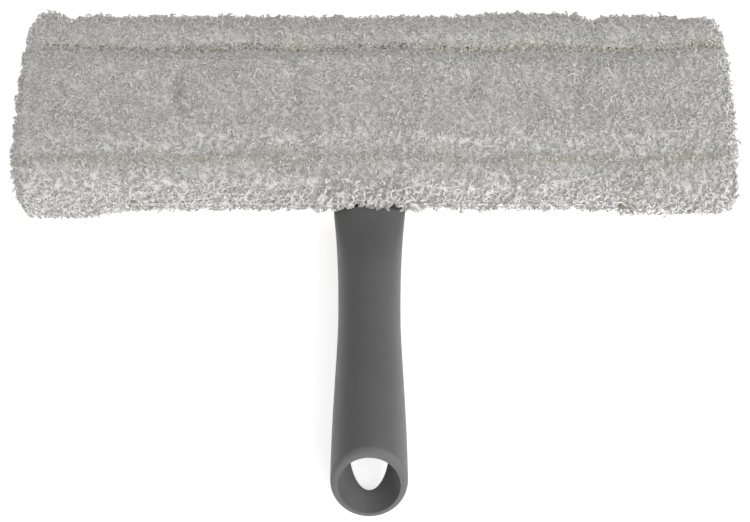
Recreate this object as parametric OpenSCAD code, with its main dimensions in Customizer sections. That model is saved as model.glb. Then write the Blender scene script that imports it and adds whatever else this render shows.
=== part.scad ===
// Window washer: a wide head in a sewn plush sleeve, on a T-bar with a hollow moulded handle.
// It lies on its back. +Z comes out of the front face, X runs along the head, and the handle
// reaches towards -Y. The origin is the middle of the footprint, on the surface it lies on.

/* [Crossbar] */
// Length of the moulded bar inside the sleeve
bar_len = 322; // [250:1:440]
// Width of the bar, across the front face
bar_w = 62; // [50:1:80]
// Thickness of the bar
bar_t = 16; // [12:1:22]
// Number of water windows through the bar
windows = 6; // [4:2:8]
// Width of a window along the bar
window_w = 32; // [20:1:34]

/* [Neck] */
// Width of the neck where it meets the handle
neck_w = 34; // [26:1:36]
// Thickness of the neck
neck_t = 10; // [8:0.5:11]
// Distance from the bar's centre line to the handle's shoulder
shoulder_s = 51; // [50.5:0.5:56]
// Radius of the spigot inside the handle
spigot_r = 7; // [6:0.25:7]

/* [Handle] */
// Distance from the bar's centre line to the middle of the open mouth
mouth_s = 184; // [176:0.5:260]
// Distance from the bar's centre line to the waist
waist_s = 107.5; // [104:0.5:120]
// Radius of the waist
waist_r = 14.55; // [14:0.05:16]
// How much wider the handle is at the mouth
mouth_swell = 2.8; // [1:0.1:4]
// How much wider the handle is at the shoulder
neck_swell = 2.6; // [1:0.05:4]
// Share of its depth that the handle loses at the shoulder
shoulder_flat = 0.46; // [0.3:0.02:0.48]
// Slant of the mouth, in degrees
mouth_slant = 32; // [0:1:40]
// Radius of the straight socket for a pole
socket_r = 11.2; // [10:0.1:11.4]
// Radius of the bore at the mouth
mouth_r = 14; // [13:0.1:14.4]
// Length of the hanging hole
hang_l = 36; // [24:1:38]
// Width of the hanging hole
hang_w = 18; // [12:1:20]

/* [Sleeve] */
// Length of the sleeve
sleeve_len = 346; // [340:1:350]
// Thickness of the plush over the bar
plush_t = 12.8; // [10:0.2:16]
// How far the plush stands past the bar on the far edge
far_plush = 22; // [14:0.5:24]
// How far the plush stands past the bar on the handle's edge
near_plush = 18.3; // [14:0.1:18.5]
// Length of the double pocket at each end
pocket_l = 54; // [40:1:70]
// Space between the bar and the sleeve
ease = 0.7; // [0.5:0.1:1.2]

/* [Hidden] */

axis_drop = 3;
window_pitch = (bar_len - 16) / windows;
pocket_w = window_pitch - window_w - 7;
pocket_d = 6.2;
wall_gap = 0.05;
spigot_l = 26;
handle_sides = 48;
rim_round = 2;
flat_run = 35;
shear_start = 125.5;
bore_stop_s = 81.5;
bore_straight = 54;
screw_stations = [64, 73];
screw_seat = axis_drop + 9;
screw_head_r = 3;
screw_r = 1.45;
hang_tip_s = 182.5;
slit_gap = 0.5;
binding_t = 0.8;
mouth_binding_w = 5;
tape_t = 0.8;
panel_gap = 0.4;
seam_r = 0.9;
strip_drop = 2;
seam_gap = 0.05;

// The bar's centre line in the part's own frame
plush_half = bar_t / 2 + ease + plush_t;
lip_reach = mouth_s - rim_round + (handle_r(mouth_s) - rim_round) * tan(mouth_slant)
  + rim_round / cos(mouth_slant);
far_edge = bar_w / 2 + far_plush + ease;
near_edge = bar_w / 2 + near_plush + ease;
bar_y = (lip_reach - far_edge) / 2;
bar_z = plush_half;

// The slit that lets the neck through
neck_top = neck_t / 2 - axis_drop;
neck_low = -neck_t / 2 - axis_drop;
slit_top = neck_top + slit_gap;
slit_low = neck_low - slit_gap;
half_len = sleeve_len / 2;
inner_y = bar_w / 2 + ease;
inner_z = bar_t / 2 + ease;
pocket_x = half_len - pocket_l;

function arc(cx, cy, r, a0, a1, n) =
  [for (i = [0:n]) let (a = a0 + (a1 - a0) * i / n) [cx + r * cos(a), cy + r * sin(a)]];
function round_rect(x0, x1, y0, y1, r, n = 8) = concat(
  arc(x1 - r, y1 - r, r, 0, 90, n),
  arc(x0 + r, y1 - r, r, 90, 180, n),
  arc(x0 + r, y0 + r, r, 180, 270, n),
  arc(x1 - r, y0 + r, r, 270, 360, n)
);
function ellipse(a, b, n = 48) = [for (i = [0:n - 1]) [a * cos(360 * i / n), b * sin(360 * i / n)]];
function clamp01(v) = max(0, min(1, v));

// Radius of the handle's width at a distance s from the bar's centre line
function handle_r(s) = s < waist_s
  ? waist_r + neck_swell * pow((waist_s - s) / (waist_s - shoulder_s), 2.5)
  : waist_r + mouth_swell * pow(sin(90 * clamp01((s - waist_s) / 80)), 1.3);
// Share of the shoulder's flatness that is left at s
function flatness(s) = (1 + cos(180 * clamp01((s - shoulder_s) / flat_run))) / 2;
// Share of the mouth's slant that a ring at s has
function slant_share(s) =
  (1 - cos(180 * clamp01((s - shear_start) / (mouth_s - rim_round - shear_start)))) / 2;

// One ring of the handle's skin: inset takes it in at the two rounded ends
function handle_ring(s, inset) = [
  for (j = [0:handle_sides - 1])
    let (
      a = 360 * j / handle_sides,
      r = handle_r(s) - inset,
      at = s - r * sin(a) * tan(mouth_slant) * slant_share(s),
      depth = r * (1 - shoulder_flat * flatness(at))
    )
    [r * cos(a), -at, depth * sin(a) - axis_drop]
];

module along_x(x0, x1) {
  translate([x0, 0, 0]) rotate([90, 0, 90]) linear_extrude(x1 - x0) children();
}

// Everything is drawn about the bar's centre line and then put in its place
module placed() {
  translate([0, bar_y, bar_z]) children();
}

module plush_block(x0, x1, y0, y1, z0, z1, r) {
  along_x(x0, x1) polygon(round_rect(y0, y1, z0, z1, r, 5));
}

// Outline of the neck seen from the front, with a fillet into the bar at each side
module neck_plan() {
  fillet = 9;
  root = bar_w / 2 - 4;
  polygon(concat(
    [[neck_w / 2 + fillet, -root]],
    arc(neck_w / 2 + fillet, -bar_w / 2 - fillet, fillet, 90, 180, 10),
    [[neck_w / 2, -shoulder_s], [-neck_w / 2, -shoulder_s]],
    arc(-neck_w / 2 - fillet, -bar_w / 2 - fillet, fillet, 0, 90, 10),
    [[-neck_w / 2 - fillet, -root]]
  ));
}

module window(x) {
  translate([x, 0, -bar_t])
    linear_extrude(2 * bar_t)
      polygon(round_rect(-window_w / 2, window_w / 2, -17, 17, 7));
}

// A shallow pocket in one face of the bar, on the web between two windows
module lightening_pocket(x, face) {
  translate([x, 0, face * (bar_t / 2 - pocket_d) - (face < 0 ? bar_t : 0)])
    linear_extrude(bar_t)
      polygon(round_rect(-pocket_w / 2, pocket_w / 2, -17, 17, 3));
}

module crossbar() {
  color("gray") placed() difference() {
    union() {
      intersection() {
        along_x(-bar_len / 2, bar_len / 2)
          polygon(round_rect(-bar_w / 2, bar_w / 2, -bar_t / 2, bar_t / 2, 6));
        translate([0, 0, -bar_t])
          linear_extrude(2 * bar_t)
            polygon(round_rect(-bar_len / 2, bar_len / 2, -bar_w / 2, bar_w / 2, 14));
      }
      translate([0, 0, neck_low]) linear_extrude(neck_t) neck_plan();
      translate([0, -shoulder_s + 0.4, -axis_drop])
        rotate([90, 0, 0]) cylinder(r = spigot_r, h = spigot_l, $fn = 64);
    }
    for (i = [0:windows - 1]) window((i - (windows - 1) / 2) * window_pitch);
    for (i = [1:windows - 1])
      for (face = [-1, 1]) lightening_pocket((i - windows / 2) * window_pitch, face);
    for (side = [-1, 1])
      for (face = [-1, 1])
        translate([0, side * 23.5, face * bar_t / 2])
          cube([bar_len - 44, 4, 3], center = true);
    for (s = screw_stations)
      translate([0, -s, -axis_drop - spigot_r - 1])
        cylinder(r = screw_r + wall_gap, h = spigot_r + 3.5, $fn = 32);
  }
}

module handle_skin() {
  top = mouth_s - rim_round;
  rings = concat(
    [handle_ring(shoulder_s, 1.2), handle_ring(shoulder_s + 0.4, 0.4)],
    [for (s = [52.2, 58, 65, 72, 79, 86, 95, 104, 112, 120, 129, 138, 147, 156, 165, 174, 181])
      handle_ring(s, 0)],
    [for (a = [0:22.5:90]) handle_ring(top + rim_round * sin(a), rim_round * (1 - cos(a)))]
  );
  n = handle_sides;
  last = len(rings) - 1;
  polyhedron(
    points = [for (ring = rings) each ring],
    faces = concat(
      [[for (j = [0:n - 1]) j]],
      [for (i = [0:last - 1]) for (j = [0:n - 1])
        [i * n + j, (i + 1) * n + j, (i + 1) * n + (j + 1) % n]],
      [for (i = [0:last - 1]) for (j = [0:n - 1])
        [i * n + j, (i + 1) * n + (j + 1) % n, i * n + (j + 1) % n]],
      [[for (j = [0:n - 1]) last * n + n - 1 - j]]
    )
  );
}

module handle_grip() {
  cone_s = bore_stop_s + bore_straight;
  flare = (mouth_r - socket_r) / (mouth_s - cone_s);
  cone_l = mouth_s + 16 - cone_s;
  color("dimgray") placed() difference() {
    handle_skin();
    translate([0, -bore_stop_s, -axis_drop]) rotate([90, 0, 0])
      cylinder(r = socket_r, h = bore_straight + 1, $fn = 96);
    translate([0, -cone_s, -axis_drop]) rotate([90, 0, 0])
      cylinder(r1 = socket_r, r2 = socket_r + flare * cone_l, h = cone_l, $fn = 96);
    translate([0, -shoulder_s + 1, -axis_drop]) rotate([90, 0, 0])
      cylinder(r = spigot_r + wall_gap, h = spigot_l + 1.5, $fn = 64);
    translate([0, hang_l / 2 - hang_tip_s, -axis_drop - 25])
      linear_extrude(22) polygon(ellipse(hang_w / 2, hang_l / 2));
    for (s = screw_stations) {
      translate([0, -s, -screw_seat - 8])
        cylinder(r = screw_head_r + 0.15, h = 8, $fn = 48);
      translate([0, -s, -screw_seat - 1])
        cylinder(r = screw_r + 0.2, h = 6, $fn = 32);
    }
  }
}

module neck_screw(s) {
  head_t = 2;
  translate([0, -s, -screw_seat]) {
    cylinder(r = screw_r, h = 11, $fn = 32);
    difference() {
      translate([0, 0, -head_t]) cylinder(r = screw_head_r, h = head_t, $fn = 48);
      for (a = [0, 90])
        rotate([0, 0, a]) translate([0, 0, -head_t]) cube([3.6, 0.9, 2], center = true);
    }
  }
}

module neck_screws() {
  color("silver") placed() for (s = screw_stations) neck_screw(s);
}

module front_panel() {
  color("white") placed() along_x(-half_len, half_len - binding_t) polygon(concat(
    [[-inner_y + panel_gap, inner_z]],
    [[inner_y - panel_gap, inner_z]],
    arc(inner_y - panel_gap - 5, plush_half - 5, 5, 0, 90, 6),
    arc(-inner_y + panel_gap + 5, plush_half - 5, 5, 90, 180, 6)
  ));
}

module back_panel() {
  color("whitesmoke") placed() along_x(-half_len, half_len - binding_t) polygon(concat(
    [[inner_y - panel_gap, -inner_z]],
    [[-inner_y + panel_gap, -inner_z]],
    arc(-inner_y + panel_gap + 5, -plush_half + 5, 5, 180, 270, 6),
    arc(inner_y - panel_gap - 5, -plush_half + 5, 5, 270, 360, 6)
  ));
}

module top_strip() {
  z = plush_half - strip_drop;
  r = min(far_plush, z) - 1;
  color("gainsboro") placed() along_x(-half_len, half_len) polygon(concat(
    [[inner_y, -z]],
    arc(far_edge - r, -z + r, r, 270, 360, 10),
    arc(far_edge - r, z - r, r, 0, 90, 10),
    [[inner_y, z]]
  ));
}

// The upper lip hangs over the neck, and its lower face is the slit's upper side
module front_lip_profile(reach) {
  r = 12;
  z = plush_half - strip_drop;
  base = slit_top + binding_t;
  polygon(concat(
    [[-inner_y, base], [-inner_y, z]],
    arc(-reach + r, z - r, r, 90, 180, 10),
    [[-reach, base + 3], [-reach + 3, base]]
  ));
}

module back_lip_profile(reach) {
  r = 8;
  z = plush_half - strip_drop;
  base = slit_low - binding_t;
  polygon(concat(
    [[-inner_y, -z], [-inner_y, base], [-reach, base]],
    arc(-reach + r, -z + r, r, 180, 270, 8)
  ));
}

module front_lip() {
  color("white") placed()
    along_x(-pocket_x + panel_gap, pocket_x - panel_gap) front_lip_profile(near_edge);
}

module back_lip() {
  color("gainsboro") placed()
    along_x(-pocket_x + panel_gap, pocket_x - panel_gap) back_lip_profile(near_edge - 5);
}

module left_gusset() {
  r = 12;
  z = plush_half - strip_drop;
  color("ghostwhite") placed() along_x(-half_len, -pocket_x) polygon(concat(
    [[-inner_y, -z], [-inner_y, z]],
    arc(-near_edge + r, z - r, r, 90, 180, 10),
    arc(-near_edge + r, -z + r, r, 180, 270, 10)
  ));
}

module right_front_gusset() {
  color("ghostwhite") placed() along_x(pocket_x, half_len) front_lip_profile(near_edge);
}

module right_back_gusset() {
  color("ghostwhite") placed() along_x(pocket_x, half_len) back_lip_profile(near_edge - 2);
}

module left_end_panel() {
  color("whitesmoke") placed()
    plush_block(-half_len, -bar_len / 2 - ease,
      -inner_y + panel_gap, inner_y - panel_gap, -inner_z + panel_gap, inner_z - panel_gap, 4);
}

// Piping of a long seam, in the groove between a main panel and the strip beside it
module seam(side, face) {
  z = plush_half - strip_drop + seam_r + seam_gap;
  color("ivory") placed()
    translate([-half_len + 1, side * (inner_y - 0.5), face * z])
      rotate([0, 90, 0]) cylinder(r = seam_r, h = sleeve_len - 2, $fn = 24);
}

module far_front_seam() { seam(1, 1); }
module far_back_seam() { seam(1, -1); }
module near_front_seam() { seam(-1, 1); }
module near_back_seam() { seam(-1, -1); }

module front_slit_binding() {
  color("beige") placed() translate([-pocket_x, -near_edge + 4, slit_top])
    cube([pocket_x + half_len - pocket_l / 2 - 10, near_edge - inner_y - 5, binding_t - 0.05]);
}

module back_slit_binding() {
  color("beige") placed() translate([-pocket_x, -near_edge + 6, slit_low - binding_t + 0.05])
    cube([pocket_x + half_len - pocket_l / 2 - 10, near_edge - inner_y - 7, binding_t - 0.05]);
}

module hook_tape() {
  color("lightgray") placed() translate([half_len - pocket_l / 2 - 8, -near_edge + 4, slit_top])
    cube([pocket_l / 2 + 4, near_edge - inner_y - 5, tape_t - 0.05]);
}

module loop_tape() {
  color("white") placed() translate([half_len - pocket_l / 2 - 8, -near_edge + 6, slit_low - tape_t + 0.05])
    cube([pocket_l / 2 + 4, near_edge - inner_y - 7, tape_t - 0.05]);
}

// Bound edge of the open end: a tape over the cut edge of each panel
module mouth_binding(low) {
  color("beige") placed() translate([half_len - binding_t, -inner_y + 2, low])
    cube([binding_t, 2 * inner_y - 4, mouth_binding_w]);
}

module front_mouth_binding() { mouth_binding(inner_z + 0.3); }
module back_mouth_binding() { mouth_binding(-inner_z - mouth_binding_w - 0.3); }

crossbar();
handle_grip();
neck_screws();
front_panel();
back_panel();
top_strip();
front_lip();
back_lip();
left_gusset();
right_front_gusset();
right_back_gusset();
left_end_panel();
far_front_seam();
far_back_seam();
near_front_seam();
near_back_seam();
front_slit_binding();
back_slit_binding();
front_mouth_binding();
back_mouth_binding();
hook_tape();
loop_tape();
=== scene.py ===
"""Looks of a window washer: a sewn plush sleeve on a T-bar with a hollow moulded handle.

Lengths in the classes are millimetres about the bar's centre line, and become metres in the
row frame when a mesh is made. X runs along the head, -Y towards the handle's mouth, +Z up.
"""

import functools
import logging
import math
from dataclasses import dataclass, field
from enum import Enum
from typing import Callable

import bmesh
import bpy
import numpy as np
from mathutils import Matrix, Vector


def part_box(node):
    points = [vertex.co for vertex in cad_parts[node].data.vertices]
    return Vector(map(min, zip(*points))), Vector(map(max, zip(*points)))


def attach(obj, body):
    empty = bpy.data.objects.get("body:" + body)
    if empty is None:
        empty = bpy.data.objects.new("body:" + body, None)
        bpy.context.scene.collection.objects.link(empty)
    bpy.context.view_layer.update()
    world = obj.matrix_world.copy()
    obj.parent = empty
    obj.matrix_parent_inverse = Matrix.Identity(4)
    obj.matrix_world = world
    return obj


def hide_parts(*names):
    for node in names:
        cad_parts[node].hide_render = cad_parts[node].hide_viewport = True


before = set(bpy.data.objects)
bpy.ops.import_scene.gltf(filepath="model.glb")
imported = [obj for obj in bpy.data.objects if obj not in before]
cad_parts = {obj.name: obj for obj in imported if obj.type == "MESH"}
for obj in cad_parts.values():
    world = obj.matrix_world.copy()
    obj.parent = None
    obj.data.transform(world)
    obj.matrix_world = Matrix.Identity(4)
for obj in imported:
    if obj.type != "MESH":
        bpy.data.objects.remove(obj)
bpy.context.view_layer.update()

log = logging.getLogger("window_washer")
MM = 0.001
BAR_HALF_W, BAR_HALF_T = 31.0, 8.0
_bar_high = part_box("crossbar")[1]
BAR_Y = _bar_high.y / MM - BAR_HALF_W
BAR_Z = _bar_high.z / MM - BAR_HALF_T
SLIT_TOP, SLIT_LOW = 2.5, -8.5
AXIS_DROP = 3.0
FLOOR_CLEAR = 0.3
# How far the long seams lie either side of the bar's centre line.
SEAM_Y = 31.6
# Creases and shallow hollows of the wide faces: x, y, width and depth of each; the creases' depths also set
# their painted shade.
CREASES = ((-92.0, 5.0, 4.0, 3.4), (-34.0, 6.0, 3.6, 3.2), (51.0, 7.0, 3.8, 3.2), (102.0, 4.0, 4.0, 2.8))
HOLLOWS = ((2.0, 18.0, 9.0, 0.8), (-130.0, -14.0, 10.0, 0.8), (138.0, 12.0, 9.0, 0.8))


class Body(Enum):
    """The two bodies that pieces ride on."""

    FRAME = "frame"
    SLEEVE = "sleeve"


class Slot(Enum):
    """The record's material slots."""

    GRIP = "grip_plastic"
    BAR = "bar_plastic"
    SCREW = "screw_steel"
    PLUSH = "plush"
    PIPING = "piping"
    BINDING = "binding"
    HOOK = "hook"
    LOOP = "loop"


# ---------------------------------------------------------------- numbers


def lattice_noise(points: np.ndarray, size: float, seed: int) -> np.ndarray:
    """Smooth value noise from -1 to 1.

    Args:
        points: an n by 3 array of positions, in millimetres.
        size: the distance between the noise's lattice points.
        seed: which lattice of values is used.

    Returns:
        One value for each point.
    """
    rng = np.random.default_rng(seed)
    count = 32
    values = rng.uniform(-1.0, 1.0, (count, count, count))
    scaled = points / size + 1000.0
    low = np.floor(scaled).astype(int)
    part = scaled - low
    part = part * part * (3.0 - 2.0 * part)
    total = np.zeros(len(points))
    for dx in (0, 1):
        for dy in (0, 1):
            for dz in (0, 1):
                weight = (
                    np.where(dx, part[:, 0], 1 - part[:, 0])
                    * np.where(dy, part[:, 1], 1 - part[:, 1])
                    * np.where(dz, part[:, 2], 1 - part[:, 2])
                )
                index = (low + (dx, dy, dz)) % count
                total += weight * values[index[:, 0], index[:, 1], index[:, 2]]
    return total


def seam_wander(x: np.ndarray | float) -> np.ndarray | float:
    """How far the long seams stray sideways at x."""
    return 0.9 * np.sin(x * 0.083 + 0.7) + 0.6 * np.sin(x * 0.031 + 2.0) + 0.35 * np.sin(x * 0.19)


def unit(vectors: np.ndarray) -> np.ndarray:
    """The same directions with length one."""
    length = np.linalg.norm(vectors, axis=-1, keepdims=True)
    return vectors / np.maximum(length, 1e-9)


def smooth_step(value: np.ndarray, start: float, end: float) -> np.ndarray:
    """Zero before start, one after end, and an eased rise between them."""
    t = np.clip((value - start) / (end - start), 0.0, 1.0)
    return t * t * (3.0 - 2.0 * t)


def bent(values: np.ndarray, power: float) -> np.ndarray:
    """Values raised to a power with their signs kept."""
    return np.sign(values) * np.abs(values) ** power


def to_row(points: np.ndarray) -> np.ndarray:
    """Millimetres about the bar's centre line, as metres in the row frame."""
    return (points + (0.0, BAR_Y, BAR_Z)) * MM


def rgb(red: float, green: float, blue: float) -> tuple[float, float, float, float]:
    """A solid colour."""
    return (red, green, blue, 1.0)


# ---------------------------------------------------------------- shader groups


class NodeBuilder:
    """Adds nodes and links to one node tree."""

    tree: bpy.types.NodeTree

    def node(self, kind: str, **settings: object) -> bpy.types.Node:
        """Adds a node.

        Args:
            kind: the node's type name.
            settings: the node's own properties and their values.

        Returns:
            The new node.
        """
        made = self.tree.nodes.new(kind)
        for key, value in settings.items():
            setattr(made, key, value)
        return made

    def link(self, source: bpy.types.NodeSocket, target: bpy.types.NodeSocket) -> None:
        """Joins two sockets."""
        self.tree.links.new(source, target)

    def feed(self, socket: bpy.types.NodeSocket, value: object) -> None:
        """Gives an input its value.

        Args:
            socket: the input.
            value: a number, a colour, or another node's output to join.
        """
        if isinstance(value, bpy.types.NodeSocket):
            self.link(value, socket)
        else:
            socket.default_value = value

    def place(self) -> bpy.types.NodeSocket:
        """The object's own coordinates."""
        return self.node("ShaderNodeTexCoord").outputs["Object"]

    def mark(self, name: str, output: str = "Fac") -> bpy.types.NodeSocket:
        """What the mesh carries in an attribute."""
        return self.node("ShaderNodeAttribute", attribute_name=name).outputs[output]

    def mapped(self, vector: bpy.types.NodeSocket, setting: str, value: tuple) -> bpy.types.NodeSocket:
        """Coordinates moved or stretched.

        Args:
            vector: the coordinates.
            setting: Location or Scale.
            value: how far along each axis.

        Returns:
            The changed coordinates.
        """
        made = self.node("ShaderNodeMapping")
        made.inputs[setting].default_value = value
        self.link(vector, made.inputs["Vector"])
        return made.outputs["Vector"]

    def noise(self, vector: bpy.types.NodeSocket, scale: object, detail: float) -> bpy.types.NodeSocket:
        """A noise texture.

        Args:
            vector: the coordinates it is read at.
            scale: its scale per metre, a number or an output.
            detail: how many finer layers it has.

        Returns:
            Its value.
        """
        made = self.node("ShaderNodeTexNoise")
        for name, value in (("Vector", vector), ("Scale", scale), ("Detail", detail)):
            self.feed(made.inputs[name], value)
        return made.outputs["Fac"]

    def math(self, operation: str, *values: object) -> bpy.types.NodeSocket:
        """A sum on numbers or outputs.

        Args:
            operation: the math node's operation.
            values: what it works on.

        Returns:
            Its result.
        """
        made = self.node("ShaderNodeMath", operation=operation)
        for socket, value in zip(made.inputs, values):
            self.feed(socket, value)
        return made.outputs[0]

    def mix(self, factor: object, first: object, second: object) -> bpy.types.NodeSocket:
        """A blend of two colours.

        Args:
            factor: the second colour's share.
            first: a colour or an output.
            second: a colour or an output.

        Returns:
            The blended colour.
        """
        made = self.node("ShaderNodeMix", data_type="RGBA")
        for index, value in zip((0, 6, 7), (factor, first, second)):
            self.feed(made.inputs[index], value)
        return made.outputs[2]

    def spread(
        self, source: bpy.types.NodeSocket, span: tuple, to: tuple = (0.0, 1.0)
    ) -> bpy.types.NodeSocket:
        """Maps a value from one span to another.

        Args:
            source: the value.
            span: the values that become the two of to.
            to: the span that is mapped to.

        Returns:
            The mapped value.
        """
        made = self.node("ShaderNodeMapRange")
        for name, value in zip(("From Min", "From Max", "To Min", "To Max"), (*span, *to)):
            made.inputs[name].default_value = value
        self.link(source, made.inputs["Value"])
        return made.outputs["Result"]


class ShaderGroup(NodeBuilder):
    """A node group with named sockets, made once and placed in several materials."""

    def __init__(self, name: str, **inputs: object) -> None:
        """Starts a group.

        Args:
            name: the group's name.
            inputs: each input's name and its starting value, a number or a colour.
        """
        self.tree = bpy.data.node_groups.new(name, "ShaderNodeTree")
        self.entry = self.node("NodeGroupInput")
        self.exit = self.node("NodeGroupOutput")
        for key, value in inputs.items():
            kind = "NodeSocketColor" if isinstance(value, tuple) else "NodeSocketFloat"
            made = self.tree.interface.new_socket(name=key, in_out="INPUT", socket_type=kind)
            made.default_value = value

    def give(self, **results: bpy.types.NodeSocket) -> bpy.types.NodeTree:
        """Adds the group's outputs.

        Args:
            results: each output's name and what it gives.

        Returns:
            The finished group.
        """
        for key, source in results.items():
            kind = "NodeSocketColor" if source.type == "RGBA" else "NodeSocketFloat"
            self.tree.interface.new_socket(name=key, in_out="OUTPUT", socket_type=kind)
        for key, source in results.items():
            self.link(source, self.exit.inputs[key])
        return self.tree


@functools.cache
def tone_group() -> bpy.types.NodeTree:
    """Soft patches of a second and a third tint over a colour.

    Returns:
        A group with inputs Colour, Warm, Cool, Amount and Scale, and output Colour.
    """
    pale = (0.8, 0.8, 0.8, 1.0)
    g = ShaderGroup("soft_tone_patches", Colour=pale, Warm=pale, Cool=pale, Amount=0.5, Scale=20.0)
    entry = g.entry.outputs
    place = g.place()
    aside = g.mapped(place, "Location", (0.37, 0.81, 0.13))
    colour = entry["Colour"]
    for tint, where, detail in (("Warm", place, 3.0), ("Cool", aside, 2.0)):
        upper_half = g.spread(g.noise(where, entry["Scale"], detail), (0.47, 0.68))
        colour = g.mix(g.math("MULTIPLY", upper_half, entry["Amount"]), colour, entry[tint])
    return g.give(Colour=colour)


@functools.cache
def grain_group() -> bpy.types.NodeTree:
    """Fine moulded grain with a few long flow marks.

    Returns:
        A group with inputs Fine, Coarse and Flow, and outputs Height and Fleck.
    """
    g = ShaderGroup("moulded_grain", Fine=2600.0, Coarse=240.0, Flow=0.4)
    entry = g.entry.outputs
    place = g.place()
    fine = g.noise(place, entry["Fine"], 2.0)
    coarse = g.noise(place, entry["Coarse"], 3.0)
    flow = g.noise(g.mapped(place, "Scale", (1.0, 0.08, 1.0)), 320.0, 2.0)
    along = g.math("MULTIPLY", flow, entry["Flow"])
    rough = g.math("ADD", fine, g.math("MULTIPLY", coarse, 0.6))
    return g.give(Height=g.math("ADD", rough, along), Fleck=g.math("ADD", coarse, along))


@functools.cache
def weave_group() -> bpy.types.NodeTree:
    """An over-and-under plain weave on the two longer directions of a flat cloth.

    Returns:
        A group with input Threads, per metre, and outputs Height and Gap.
    """
    g = ShaderGroup("plain_weave", Threads=1200.0)
    place = g.place()
    split = g.node("ShaderNodeSeparateXYZ")
    g.link(place, split.inputs[0])
    across = g.math("ADD", split.outputs["Y"], split.outputs["Z"])
    turn = g.math("MULTIPLY", g.entry.outputs["Threads"], math.pi)
    warp = g.math("SINE", g.math("MULTIPLY", split.outputs["X"], turn))
    weft = g.math("SINE", g.math("MULTIPLY", across, turn))
    over = g.math("MULTIPLY", warp, weft)
    ribs = g.math("ADD", g.math("ABSOLUTE", warp), g.math("ABSOLUTE", weft))
    height = g.math("ADD", g.math("MULTIPLY", over, 0.5), g.math("MULTIPLY", ribs, 0.5))
    fuzz = g.math("MULTIPLY", g.noise(place, 1800.0, 2.0), 0.6)
    return g.give(Height=g.math("ADD", height, fuzz), Gap=g.math("MULTIPLY", ribs, 0.5))


# ---------------------------------------------------------------- finishes


class Painter(NodeBuilder):
    """A material being put together round one Principled shader."""

    def __init__(self, name: str) -> None:
        """Starts a material with its shader.

        Args:
            name: the material's name.
        """
        self.material = bpy.data.materials.new(name)
        self.material.use_nodes = True
        self.tree = self.material.node_tree
        self.shader = self.tree.nodes["Principled BSDF"]

    def set(self, **values: object) -> None:
        """Sets the shader's own sockets, with _ for a space, to constants or outputs."""
        for key, value in values.items():
            self.feed(self.shader.inputs[key.replace("_", " ")], value)

    def group(self, tree: bpy.types.NodeTree, **values: object) -> bpy.types.NodeOutputs:
        """Places a shader group.

        Args:
            tree: the group.
            values: its inputs' values.

        Returns:
            Its outputs.
        """
        made = self.node("ShaderNodeGroup")
        made.node_tree = tree
        for key, value in values.items():
            made.inputs[key].default_value = value
        return made.outputs

    def bump(self, height: bpy.types.NodeSocket, depth: float, strength: float) -> bpy.types.Node:
        """Feeds the shader's normal from a height.

        Args:
            height: the height, as a share of depth.
            depth: the relief's depth, in metres.
            strength: how much of it shows.

        Returns:
            The bump node.
        """
        made = self.node("ShaderNodeBump")
        made.inputs["Distance"].default_value = depth
        made.inputs["Strength"].default_value = strength
        self.link(height, made.inputs["Height"])
        self.set(Normal=made.outputs["Normal"])
        return made


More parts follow.
